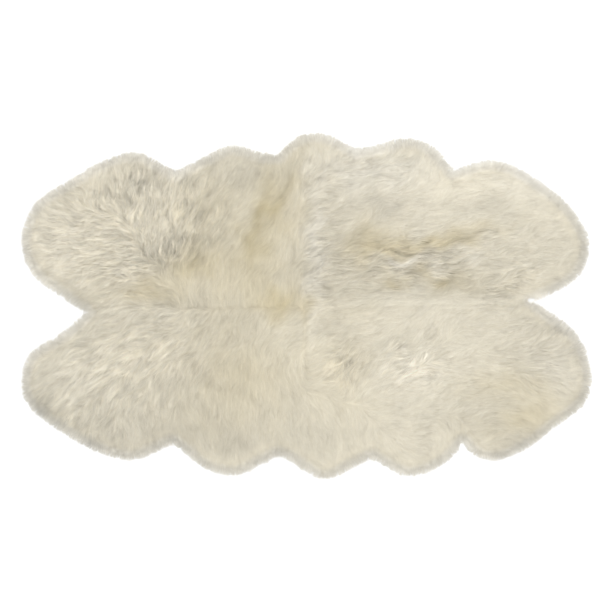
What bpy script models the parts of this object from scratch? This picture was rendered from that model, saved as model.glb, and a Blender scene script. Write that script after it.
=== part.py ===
"""Sheepskin rug: four pelts sewn together, two by two, with the wool side up.

Units are metres and +Z is up. The origin is on the floor under the middle of the rug. X runs along
the rug's length and Y across it. Each pelt is one solid: its hide lies flat at z = 0, the wool stands
on it as a lumpy slab, and locks of wool fringe the free rim. The pelts meet at two nearly straight
seams, which cross in the middle of the rug.
"""

import math
import random
from collections import namedtuple

import bmesh
import bpy
from mathutils import Vector, kdtree, noise
from mathutils.geometry import delaunay_2d_cdt

# The wool's section, from the middle of a pelt to its rim
PILE = 0.046  # height over the middle of a pelt, hide included
RIM_UPPER = 0.020  # height at which the wool's round side reaches furthest out
RIM_LOWER = 0.004  # height at which the side turns under
TUCK_LOWER = 0.002  # how far the side has drawn in there
TUCK_FLOOR = 0.006  # how far it has drawn in at the floor
RIM_ROUNDING = 0.020  # how far behind the rim the wool has risen most of the way
SEAM_GAP = 0.0003  # between two sewn pelts
SEAM_DIP = 0.005  # how far the wool sinks over a seam
SEAM_DIP_WIDTH = 0.022

# Lumps of the fleece: broad swells, and the tufts on them
SWELL = 0.010
SWELL_LENGTH = 0.150
TUFT = 0.009
TUFT_LENGTH = 0.062
TUFT_SHIFT = Vector((7, 3, 5))  # so that tufts and swells don't coincide
LUMP_FADE = 0.045  # the lumps fade out over this distance from the rim

# Locks at the rim
LOCK_PITCH = 0.0190
LOCK_REACH = 0.014  # usual length past the slab
LOCK_SPREAD = (0.75, 1.30)  # shortest and longest, as shares of LOCK_REACH
LOCK_SHORTEST = 0.006  # where the rim turns inward, a lock with less room than this is left out
LOCK_ROOM = 1.9  # free space in front of a lock, in its own lengths, so that locks across a notch don't touch
LOCK_LEAN = 0.40  # the most that a lock leans along the rim, as a share of its length
LOCK_WAIST = 0.62  # its width at the waist, as a share of the root's
LOCK_WAIST_PLACE = 0.55  # where the waist is, as a share of the length
LOCK_WAIST_HEIGHT = 0.68  # height of the waist, as a share of the root's
LOCK_TIP_HEIGHT = 0.0008
LOCK_SEED = 11

# Mesh fineness
CURVE_STEP = 0.003  # between the points read from a smooth curve
LATTICE = 0.028  # between the fleece's surface points
NEAREST = 0.62  # no two surface points lie nearer than this share of LATTICE
SHOULDER_ROWS = (0.009, 0.024)  # distances from the rim of extra rows of points, where the side rounds over
PARTING_STEP = 0.022  # between the points along a parting

WOOL_COLOUR = (0.70, 0.64, 0.52, 1.0)
WOOL_ROUGHNESS = 0.95

# The outline of the lock tips, in millimetres from the rug's middle. Each row is one scallop of a pelt's
# rim, from notch to notch, and the rows run clockwise as seen from above. A pelt's rim starts and ends
# on a seam.
Scallop = namedtuple("Scallop", "pelt place points")
SCALLOPS = (
    Scallop("upper_left", "leg", ((-692, -19), (-762, 31), (-856, 98), (-898, 195), (-859, 318),
                                  (-730, 406), (-617, 467), (-535, 481), (-472, 450), (-415, 419))),
    Scallop("upper_left", "flank", ((-415, 419), (-321, 469), (-239, 503), (-151, 483), (-91, 472))),
    Scallop("upper_left", "rump", ((-91, 472), (-50, 516), (-6, 540))),
    Scallop("upper_right", "rump", ((-6, 540), (38, 543), (88, 529), (151, 492))),
    Scallop("upper_right", "flank", ((151, 492), (227, 505), (315, 527), (397, 502), (466, 422))),
    Scallop("upper_right", "leg", ((466, 422), (535, 448), (598, 456), (686, 423), (806, 337),
                                   (872, 252), (891, 183), (862, 105), (793, 55), (708, 20))),
    Scallop("lower_right", "leg", ((708, 20), (777, -31), (856, -98), (897, -208), (878, -302),
                                   (793, -371), (705, -437), (623, -478), (548, -475), (494, -423))),
    Scallop("lower_right", "flank", ((494, -423), (441, -488), (334, -532), (252, -500), (208, -474))),
    Scallop("lower_right", "rump", ((208, -474), (138, -508), (60, -544), (-6, -511))),
    Scallop("lower_left", "rump", ((-6, -511), (-50, -481), (-91, -467))),
    Scallop("lower_left", "flank", ((-91, -467), (-157, -500), (-227, -530), (-321, -508),
                                    (-378, -461), (-425, -426))),
    Scallop("lower_left", "leg", ((-425, -426), (-491, -459), (-566, -480), (-686, -442), (-831, -352),
                                  (-884, -296), (-898, -236), (-869, -151), (-768, -88), (-692, -19))),
)
PELTS = ("upper_left", "upper_right", "lower_right", "lower_left")
CROSSING = Vector((-0.006, 0.0))  # where the two seams cross

# Partings, where the wool falls open to both sides: the line in millimetres, and its depth and width.
Parting = namedtuple("Parting", "place depth width points")
PARTINGS = (
    Parting("upper right, long", 0.015, 0.034, ((250, 160), (325, 163), (368, 160), (455, 188),
                                                (530, 222), (590, 240))),
    Parting("upper right, by the seam", 0.009, 0.030, ((95, 80), (235, 75), (360, 72), (455, 78),
                                                       (530, 94))),
    Parting("upper left, middle", 0.009, 0.034, ((-520, 150), (-405, 172), (-310, 190))),
    Parting("upper left, by the rump", 0.009, 0.040, ((-232, 140), (-195, 200), (-140, 265), (-92, 335))),
    Parting("upper left, top", 0.008, 0.026, ((-536, 412), (-545, 355))),
    Parting("upper left, at the notch", 0.007, 0.026, ((-640, 22), (-565, 52))),
    Parting("lower right, tip", 0.009, 0.028, ((742, -270), (822, -322))),
    Parting("lower right, slanting", 0.008, 0.030, ((250, -130), (345, -95), (400, -70))),
    Parting("lower right, whorl", 0.007, 0.026, ((130, -160), (134, -222))),
    Parting("lower left, flank", 0.006, 0.040, ((-330, -215), (-290, -250), (-235, -262))),
)

# A point on the edge of a pelt: where it is, and which way the wool's side draws in below it.
Mark = namedtuple("Mark", "point inward on_rim")


def metres(points):
    """The points of a table's row, as vectors in metres."""
    return [Vector(point) / 1000 for point in points]


def smooth(points, step):
    """Points about a step apart on a smooth curve through all of points."""
    ends = [2 * points[0] - points[1], *points, 2 * points[-1] - points[-2]]
    curve = []
    for before, start, end, after in zip(ends, ends[1:], ends[2:], ends[3:]):
        count = max(1, round((end - start).length / step))
        for i in range(count):
            t = i / count
            curve.append(0.5 * (2 * start + (end - before) * t
                                + (2 * before - 5 * start + 4 * end - after) * t ** 2
                                + (3 * start - before - 3 * end + after) * t ** 3))
    return [*curve, points[-1]]


def evenly(points, step):
    """Points evenly spaced along a line, about a step apart, its ends included."""
    lengths = [(b - a).length for a, b in zip(points, points[1:])]
    count = max(1, round(sum(lengths) / step))
    spacing = sum(lengths) / count
    spaced, passed = [points[0]], 0.0
    for a, b, length in zip(points, points[1:], lengths):
        while len(spaced) < count and passed + length >= spacing * len(spaced):
            spaced.append(a.lerp(b, (spacing * len(spaced) - passed) / length))
        passed += length
    return [*spaced, points[-1]]


def left_of(direction):
    """The unit vector to the left of a direction. Along a rim, which runs clockwise, it points outward."""
    return Vector((-direction.y, direction.x)).normalized()


def line_tree(points):
    """A tree that finds the distance from any place to a line of close points."""
    tree = kdtree.KDTree(len(points))
    for i, point in enumerate(points):
        tree.insert(point.to_3d(), i)
    tree.balance()
    return tree


def distance(tree, point):
    return tree.find(point.to_3d())[2]


def is_inside(ring, point):
    """True if the point lies inside a closed ring of points."""
    crossings = 0
    for a, b in zip(ring, [*ring[1:], ring[0]]):
        if (a.y > point.y) != (b.y > point.y):
            crossings += point.x < a.x + (point.y - a.y) / (b.y - a.y) * (b.x - a.x)
    return crossings % 2 == 1


def rim_of(pelt):
    """The slab's rim from seam to seam: the pelt's scallops drawn in by a lock's length, evenly spaced."""
    tips = []
    for row in SCALLOPS:
        if row.pelt == pelt:
            tips += smooth(metres(row.points), CURVE_STEP)
    rim = [(a + b) / 2 - left_of(b - a) * LOCK_REACH for a, b in zip(tips, tips[1:]) if a != b]
    for end, tip in ((0, tips[0]), (-1, tips[-1])):
        rim[end] = tip + (CROSSING - tip).normalized() * LOCK_REACH
    return evenly(rim, LOCK_PITCH)


def seam_from(rim_end):
    """The points of a seam, from a rim's end to the crossing, both left out."""
    along = (CROSSING - rim_end).normalized()
    near = [rim_end + along * row for row in SHOULDER_ROWS]
    return [near[0], *evenly([near[-1], CROSSING], LATTICE)[:-1]]


def edge_of(pelt):
    """The marks around a pelt, clockwise: its rim, the seam in to the crossing, and the other seam out."""
    rim = rim_of(pelt)
    seam_in, seam_out = seam_from(rim[-1]), seam_from(rim[0])[::-1]
    beside_in = -left_of(CROSSING - rim[-1]) * SEAM_GAP / 2
    beside_out = -left_of(rim[0] - CROSSING) * SEAM_GAP / 2
    marks = [Mark(rim[0] + beside_out, (CROSSING - rim[0]).normalized(), True)]
    marks += [Mark(point, -left_of(after - before), True)
              for before, point, after in zip(rim, rim[1:], rim[2:])]
    marks.append(Mark(rim[-1] + beside_in, (CROSSING - rim[-1]).normalized(), True))
    upright = Vector((0, 0))
    marks += [Mark(point + beside_in, upright, False) for point in seam_in]
    marks.append(Mark(CROSSING + beside_in + beside_out, upright, False))
    marks += [Mark(point + beside_out, upright, False) for point in seam_out]
    return marks


class Fleece:
    """The wool's surface over the whole rug."""

    def __init__(self):
        rims = [rim_of(pelt) for pelt in PELTS]
        self.rim = line_tree([point for rim in rims for point in evenly(rim, CURVE_STEP)])
        self.seams = line_tree([point for rim in rims for point in evenly([rim[0], CROSSING], CURVE_STEP)])
        self.partings = [(row, smooth(metres(row.points), CURVE_STEP)) for row in PARTINGS]
        self.parting_trees = [(row, line_tree(line)) for row, line in self.partings]

    def height(self, point):
        """It rounds up from the rim, swells into lumps, and sinks over the seams and in the partings."""
        from_rim = distance(self.rim, point)
        place = point.to_3d()
        lumps = SWELL * noise.noise(place / SWELL_LENGTH)
        lumps += TUFT * noise.noise(place / TUFT_LENGTH + TUFT_SHIFT)
        lumps -= SEAM_DIP * math.exp(-(distance(self.seams, point) / SEAM_DIP_WIDTH) ** 2)
        for row, tree in self.parting_trees:
            lumps -= row.depth * math.exp(-(2 * distance(tree, point) / row.width) ** 2)
        rise = 1 - math.exp(-from_rim / RIM_ROUNDING)
        return RIM_UPPER + (PILE - RIM_UPPER) * rise + lumps * min(1.0, from_rim / LUMP_FADE)

    def places_in(self, marks):
        """Where a pelt's surface has points: along its rim, on the partings and on an even lattice."""
        places = []
        for row in SHOULDER_ROWS:
            places += [mark.point + mark.inward * row for mark in marks[1:-1:2] if mark.on_rim]
        for row, line in self.partings:
            spine = evenly(line, PARTING_STEP)
            for a, b in zip(spine, spine[1:]):
                across = left_of(b - a) * row.width / 2
                places += [(a + b) / 2 + across * side for side in (-1, 0, 1)]
        ring = [mark.point for mark in marks]
        low = Vector((min(p.x for p in ring), min(p.y for p in ring)))
        high = Vector((max(p.x for p in ring), max(p.y for p in ring)))
        row_height = LATTICE * math.sqrt(3) / 2
        for row in range(int((high.y - low.y) / row_height) + 1):
            for column in range(int((high.x - low.x) / LATTICE) + 1):
                places.append(low + Vector(((column + row % 2 / 2) * LATTICE, row * row_height)))
        edge = line_tree(evenly([*ring, ring[0]], CURVE_STEP))
        kept = []
        for place in places:
            if distance(edge, place) < SHOULDER_ROWS[0] * 0.9 or not is_inside(ring, place):
                continue
            if all((place - other).length > NEAREST * LATTICE for other in kept):
                kept.append(place)
        return kept


def grow_lock(bm, root, reach, lean):
    """Draws a face of the slab's side out into a lock with four sides, which narrows, leans and droops."""
    middle = root.calc_center_median()
    outward = Vector((root.normal.x, root.normal.y, 0)).normalized()
    along = Vector((-outward.y, outward.x, 0))
    drawn = bmesh.ops.extrude_discrete_faces(bm, faces=[root])["faces"][0]
    waist = middle + (outward + along * lean * LOCK_WAIST_PLACE) * reach * LOCK_WAIST_PLACE
    waist.z = middle.z * LOCK_WAIST_HEIGHT
    for vert in drawn.verts:
        vert.co = waist + (vert.co - middle) * LOCK_WAIST
    drawn = bmesh.ops.extrude_discrete_faces(bm, faces=[drawn])["faces"][0]
    tip = middle + (outward + along * lean) * reach
    tip.z = LOCK_TIP_HEIGHT
    bmesh.ops.pointmerge(bm, verts=drawn.verts[:], merge_co=tip)


def room_for_lock(fleece, root, outward, reach):
    """The lock's length, cut down where the rim beyond it is near, or nothing where that is too short."""
    while reach > LOCK_SHORTEST and distance(fleece.rim, root + outward * reach * 2) < LOCK_ROOM * reach:
        reach -= CURVE_STEP / 3
    return reach if reach > LOCK_SHORTEST else 0.0


def build_pelt(pelt, fleece, chance):
    """One pelt as a closed mesh: the wool's surface, its side down to the floor, the flat hide and locks."""
    marks = edge_of(pelt)
    count = len(marks)
    places = [mark.point for mark in marks] + fleece.places_in(marks)
    points, _, triangles, *_ = delaunay_2d_cdt(places, [], [list(range(count))], 1, 1e-6)
    bm = bmesh.new()
    surface = [bm.verts.new((*point, fleece.height(point))) for point in points]
    for triangle in triangles:
        bm.faces.new([surface[i] for i in triangle])
    rings = [surface[:count]]
    for mark, vert in zip(marks, rings[0]):
        if mark.on_rim:
            vert.co.z = RIM_UPPER
    for tuck, level in ((TUCK_LOWER, RIM_LOWER), (TUCK_FLOOR, 0.0)):
        rings.append([bm.verts.new((*(mark.point + mark.inward * tuck), level)) for mark in marks])
    sides = []
    for upper, lower in zip(rings, rings[1:]):
        for i in range(count):
            after = (i + 1) % count
            sides.append(bm.faces.new((upper[i], upper[after], lower[after], lower[i])))
    bm.faces.new(rings[-1])
    bmesh.ops.recalc_face_normals(bm, faces=bm.faces[:])
    roots = [face for face, mark, after in zip(sides, marks, marks[1:]) if mark.on_rim and after.on_rim]
    for root in roots:
        lean = chance.uniform(-LOCK_LEAN, LOCK_LEAN)
        reach = LOCK_REACH * chance.uniform(*LOCK_SPREAD)
        middle = root.calc_center_median().xy
        reach = room_for_lock(fleece, middle, root.normal.xy.normalized(), reach)
        if reach:
            grow_lock(bm, root, reach, lean)
    bmesh.ops.triangulate(bm, faces=bm.faces[:])
    mesh = bpy.data.meshes.new("pelt_" + pelt)
    bm.to_mesh(mesh)
    bm.free()
    return mesh


def wool_material():
    material = bpy.data.materials.new("wool")
    material.use_nodes = True
    shader = material.node_tree.nodes["Principled BSDF"]
    shader.inputs["Base Color"].default_value = WOOL_COLOUR
    shader.inputs["Roughness"].default_value = WOOL_ROUGHNESS
    shader.inputs["Metallic"].default_value = 0.0
    return material


def build_rug():
    for obj in list(bpy.data.objects):
        bpy.data.objects.remove(obj)
    rug = bpy.data.collections.new("sheepskin_rug")
    bpy.context.scene.collection.children.link(rug)
    fleece = Fleece()
    wool = wool_material()
    chance = random.Random(LOCK_SEED)
    for pelt in PELTS:
        mesh = build_pelt(pelt, fleece, chance)
        mesh.shade_smooth()
        mesh.materials.append(wool)
        rug.objects.link(bpy.data.objects.new(mesh.name, mesh))


build_rug()
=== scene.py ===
"""The looks of the sheepskin rug: combed wool on four pelts, their leather backs and the sewn seams.

Units are metres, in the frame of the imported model: X along the rug, Y across it, Z up, the floor at 0.
The wool of a pelt is a soft body with combed relief, strands laid over it, and strands that hang over
its free rim. Maps on even grids say, for any place on the rug, how high the wool stands there, how far
the rim is, which way the wool is combed, and how light and how stained it is.
"""

import math
from collections import namedtuple

import bpy
import numpy as np
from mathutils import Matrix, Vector, kdtree
from mathutils.bvhtree import BVHTree
from mathutils.geometry import delaunay_2d_cdt


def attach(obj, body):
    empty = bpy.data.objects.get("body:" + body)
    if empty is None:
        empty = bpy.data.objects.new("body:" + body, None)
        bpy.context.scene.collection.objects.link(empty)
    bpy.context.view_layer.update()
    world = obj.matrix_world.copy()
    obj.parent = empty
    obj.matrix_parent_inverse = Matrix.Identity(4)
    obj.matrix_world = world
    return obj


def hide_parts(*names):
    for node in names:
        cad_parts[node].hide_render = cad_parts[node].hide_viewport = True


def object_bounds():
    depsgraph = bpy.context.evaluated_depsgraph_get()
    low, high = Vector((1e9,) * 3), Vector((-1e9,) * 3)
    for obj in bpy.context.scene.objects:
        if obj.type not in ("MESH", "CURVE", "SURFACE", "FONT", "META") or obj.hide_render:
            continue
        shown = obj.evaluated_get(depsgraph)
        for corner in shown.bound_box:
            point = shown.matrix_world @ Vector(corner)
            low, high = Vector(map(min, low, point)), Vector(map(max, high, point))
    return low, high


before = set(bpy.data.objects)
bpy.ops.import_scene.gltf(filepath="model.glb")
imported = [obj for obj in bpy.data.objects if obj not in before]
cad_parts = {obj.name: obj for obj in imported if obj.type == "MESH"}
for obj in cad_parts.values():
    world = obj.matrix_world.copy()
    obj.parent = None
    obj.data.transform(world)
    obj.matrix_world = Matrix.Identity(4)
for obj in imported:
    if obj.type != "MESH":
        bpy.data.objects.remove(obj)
cad_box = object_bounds()

PELTS = ("upper_left", "upper_right", "lower_right", "lower_left")
RNG = np.random.default_rng(23)

# ---------------------------------------------------------------- sizes of the fleece
GRID = 0.004  # cell of the maps of height and distance, and of the soft body's mesh
FINE_GRID = 0.002  # cell of the map of streaks
MAP_MARGIN = 0.05  # the maps reach this far past the rug
HIDE_TO_RIM = 0.006  # the wool's side stands out this far past the hide's edge
SLAB_LOWEST = 0.0195  # the solid's slab is nowhere lower than this, and its locks are
FLOOR_LEVEL = 1e-5  # what is lower lies on the floor
EDGE_STEP = 0.002  # between the points along the hides' edges
SEWN_GAP = 0.003  # hides whose edges lie nearer than this are sewn together there
BED_DEPTH = 0.0045  # the soft body lies this far under the solid's surface
BED_FLOOR = 0.0028  # its flat underside, just over the hide
RIM_ROUND = 0.028  # the body rounds up over this distance from its rim
ROUNDNESS = 0.7  # the less, the steeper its side
FRINGE_END = 0.03  # no wool reaches this far past the hide's edge

RIM_SHADE = 0.05  # how far the rim's roundness shades the wool, from 0 to 1
STEEPEST = 0.5  # the steepest slope that the shading follows
SHARPNESS = 0.2  # how far a strand's own roundness shades it, from 0 to 1
RIM_REACH = (0.020, 0.036)  # how far past the hide's edge strands reach
NOTCH_OPEN = 5  # how firmly the notches between scallops are kept free of strands
NOTCH_LEAST = 0.1  # the share of its reach that a strand keeps there
NOTCH_WIDTH = 0.018
EDGE_CURVE = 1.7  # how steep the curve is that a blurred straight edge follows
CUTS = np.linspace(1, 0.2, 12)  # the shares of its length to which a strand is cut back
SHORTEST = 0.008  # but no strand is shorter than this
THIN_FROM = 0.010  # the wool gets thinner from this far inside the hide's edge, and the painted rim light starts here
THIN_OVER = 0.018  # over this distance
RIM_PAINTED_LIGHT = 0.20  # painted light: how much lighter the colour is made where the wool is thin, standing in for light that comes through it
RIM_PALE = 0.65  # and how much paler, from 0 to 1, with that painted light
TIPS_FROM = 0.012  # from this far outside the hide's edge its tips get darker
TIPS_OVER = 0.010  # over this distance
TIP_DARK = 0.27  # by so much in the end
TURN_OVER = 0.016  # strands turn outwards within about this distance from the rim
STRAND_STRAY = 0.14  # how far single strands stray from the way the wool lies, in radians
LOOSE_STRAY = 0.4  # how much further they do where the guides around them disagree
CLUMP_STRAY = 0.4  # and how far whole clumps do
BEND = 0.07  # sideways, as a share of a strand's length
STRAND_SHADE = 0.035  # how much lighter or darker single strands are
CLUMP_SHADE = 0.03  # and whole clumps
HIGHEST_RISE = 0.007  # of a strand over the soft body
RELIEF_MOST = 0.006  # of the streaks, up or down
OVER_SEAM = 0.18  # how little of a pelt there may be where its strands still grow, across a seam
ROOT_SINK = 0.0025  # a strand starts this far inside the soft body
DROOP_FROM = 0.006  # from this far inside the hide's edge strands rise less
DROOP_OVER = 0.030  # over this distance
DROOP_LEAST = 0.12  # down to this share
OVER_FLOOR = 0.0015  # a strand's middle line is no lower than this
WOOL_LOWEST = 0.0005  # nor any point of a strand lower than this
SCATTER = 43758.5453  # so large a factor that the fraction of a sine looks random
ROLL_SPREAD = 0.5  # how far strands are rolled from lying with a flat side up, in radians
STATIONS = (0, 0.42, 1)  # a strand's root, its thickest place and its tip, along its length
STATION_OF = [0, 1, 1, 1, 2]  # the station of each of its five points

# A kind of strand: how far apart the strands are, between which distances from the hide's edge they
# grow, how thick and long they are, how far they rise, the share of its length that a strand starts
# behind its place, how wide their clumps are and how firmly these hold together, and how far the
# strands turn outwards at the rim.
Kind = namedtuple("Kind", "pitch zone radius length rise back clump hold turn_out")
FINE = Kind(0.0048, (-0.004, 1), (0.0007, 0.0012), (0.026, 0.042), (0.001, 0.005), 0.3, 0.015, 0.3, 0.8)
LOCK = Kind(0.0080, (0.004, 1), (0.0009, 0.0016), (0.034, 0.052), (0.001, 0.007), 0.3, 0.022, 0.3, 0.8)
RIM = Kind(0.0030, (-HIDE_TO_RIM, 0.018), (0.0009, 0.0015), (0.034, 0.054), (0.001, 0.005), 0.0, 0.010,
           0.4, 1.7)

HIDE_LOWEST = 0.0004  # the hide's underside, over the floor
HIDE_THICK = 0.0018
HIDE_SWELL = 0.0003  # how uneven its underside is
HIDE_STEP = 0.012  # between the points of its sheet
STITCH_STEP = 0.006
STITCH_LENGTH = 0.009
STITCH_SLANT = 0.45  # how far a stitch leans along the seam, as a share of its way across
THREAD_THICK = 0.0009
SEAMS = {
    "seam_upper": ("upper_left", "upper_right"), "seam_lower": ("lower_left", "lower_right"),
    "seam_left": ("upper_left", "lower_left"), "seam_right": ("upper_right", "lower_right"),
}

WOOL_TIP = (0.79, 0.742, 0.615)
WOOL_ROOT = (0.69, 0.632, 0.495)
WOOL_PALE = (0.80, 0.78, 0.72)
WOOL_STAINED = (0.75, 0.655, 0.43)
# the softboxes: name, power in watts, side and place
LIGHTS = (("key", 37, 2.2, (0.3, 2.5, 2.5)), ("fill", 18, 2.6, (0.7, -2.7, 1.5)))
PHOTO_SIDE = 616  # pixels
PIXEL = 0.003158  # on the rug
LENS = 85  # millimetres, and so is the sensor
SENSOR = 36
CAMERA_SHIFT = (0.0048, -0.0047)  # so that the rug lies in the picture as in the photo
WOOL_LEVEL = 0.03  # a pixel has its size at this height, where the wool's rim is

LEATHER_PALE = (0.80, 0.72, 0.58)
LEATHER_DARK = (0.68, 0.58, 0.43)
THREAD_PALE = (0.72, 0.64, 0.50)
THREAD_DARK = (0.52, 0.44, 0.32)
STRIPES = 2400  # of fibres, over the whole of a texture place
STRIPE_STRETCH = 0.12  # how much coarser the stripes are along the fibres
STRIPE_SHADES = (0.90, 1.06)  # the darkest and the lightest stripe

# How the wool lies, as it looks in the photo, by a few guides for each pelt
Guide = namedtuple("Guide", "x y heading")  # millimetres, and degrees from +X towards +Y
NAP = {
    "upper_left": (
        # over the leg lobe it lies to its end, and fans out to both sides
        Guide(-830, 200, 180), Guide(-800, 310, 150), Guide(-800, 100, 200), Guide(-680, 230, 190),
        Guide(-560, 190, 190), Guide(-660, 60, 210), Guide(-640, 400, 90), Guide(-480, 60, 180),
        # along the flank it stands up towards the rim
        Guide(-540, 370, 80), Guide(-450, 340, 85), Guide(-480, 240, 70), Guide(-380, 250, 70),
        Guide(-370, 140, 60), Guide(-320, 400, 60), Guide(-200, 430, 60),
        # it sweeps to the right in the tan band, and lies along the seam beside it
        Guide(-200, 250, 40), Guide(-110, 300, 30), Guide(-150, 150, 60), Guide(-50, 430, 90),
        Guide(-50, 250, 90), Guide(-180, 50, 85), Guide(-300, 60, 90),
    ),
    "upper_right": (
        # it lies to the right nearly everywhere, and turns up at the tops of the two scallops
        Guide(40, 490, 100), Guide(100, 430, 10), Guide(270, 420, 0), Guide(350, 490, 80),
        Guide(400, 430, 60), Guide(560, 370, 0), Guide(690, 360, 20), Guide(110, 300, 15),
        Guide(200, 300, 40), Guide(300, 290, 5), Guide(500, 290, 15), Guide(780, 280, 20),
        Guide(100, 200, 20), Guide(300, 210, 10), Guide(520, 210, 15), Guide(780, 210, 10),
        Guide(120, 80, 10), Guide(350, 80, 0), Guide(600, 110, 10), Guide(730, 60, 10),
    ),
    "lower_right": (
        Guide(80, -20, 10), Guide(300, -20, 15), Guide(580, -20, 5), Guide(40, -110, 25),
        Guide(160, -90, 10), Guide(520, -90, 10), Guide(430, -180, -10), Guide(560, -200, -10),
        # two places where it stands up against the rest
        Guide(320, -80, 45), Guide(400, -90, 75), Guide(140, -220, 80), Guide(250, -180, 25),
        # the leg lobe
        Guide(680, -90, 30), Guide(790, -100, 40), Guide(750, -200, -15), Guide(710, -280, -40),
        Guide(820, -270, -10), Guide(710, -370, -20), Guide(590, -350, 20),
        # along the flank
        Guide(50, -360, -70), Guide(200, -400, -100), Guide(260, -450, -55), Guide(280, -330, 20),
        Guide(330, -400, 15), Guide(460, -320, 45), Guide(450, -400, -90),
    ),
    "lower_left": (
        # over the leg lobe it lies to its end, and turns down towards the rim
        Guide(-650, -20, 200), Guide(-640, -80, 200), Guide(-750, -150, 215), Guide(-600, -150, 205),
        Guide(-790, -250, 220), Guide(-650, -230, 215), Guide(-550, -230, 230), Guide(-690, -310, 230),
        Guide(-620, -340, 260), Guide(-530, -370, 280),
        # it lies to the left along the seam and down along the flank
        Guide(-480, -30, 190), Guide(-440, -90, 200), Guide(-480, -150, 220), Guide(-360, -130, 215),
        Guide(-430, -210, 250), Guide(-300, -260, 270), Guide(-360, -390, 290), Guide(-210, -390, 270),
        Guide(-60, -380, 275), Guide(-240, -20, 260), Guide(-300, -80, 240), Guide(-130, -120, 250),
        Guide(-190, -230, 270), Guide(-50, -70, 200), Guide(-50, -260, 290),
    ),
}

GUIDE_REACH = 0.060  # how soon a guide gives way to its neighbours
NAP_WANDER = 0.020  # how far the nap is shifted to and fro, so that it doesn't turn along smooth lines
NAP_SWAY = 0.20  # and how far it is turned, in radians
WANDER_WAVES = 0.10  # about how long the waves of that shift are
SWAY_WAVES = 0.07  # and those of that turn
WAVES = 14  # the number of plain waves that make such an uneven field
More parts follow.
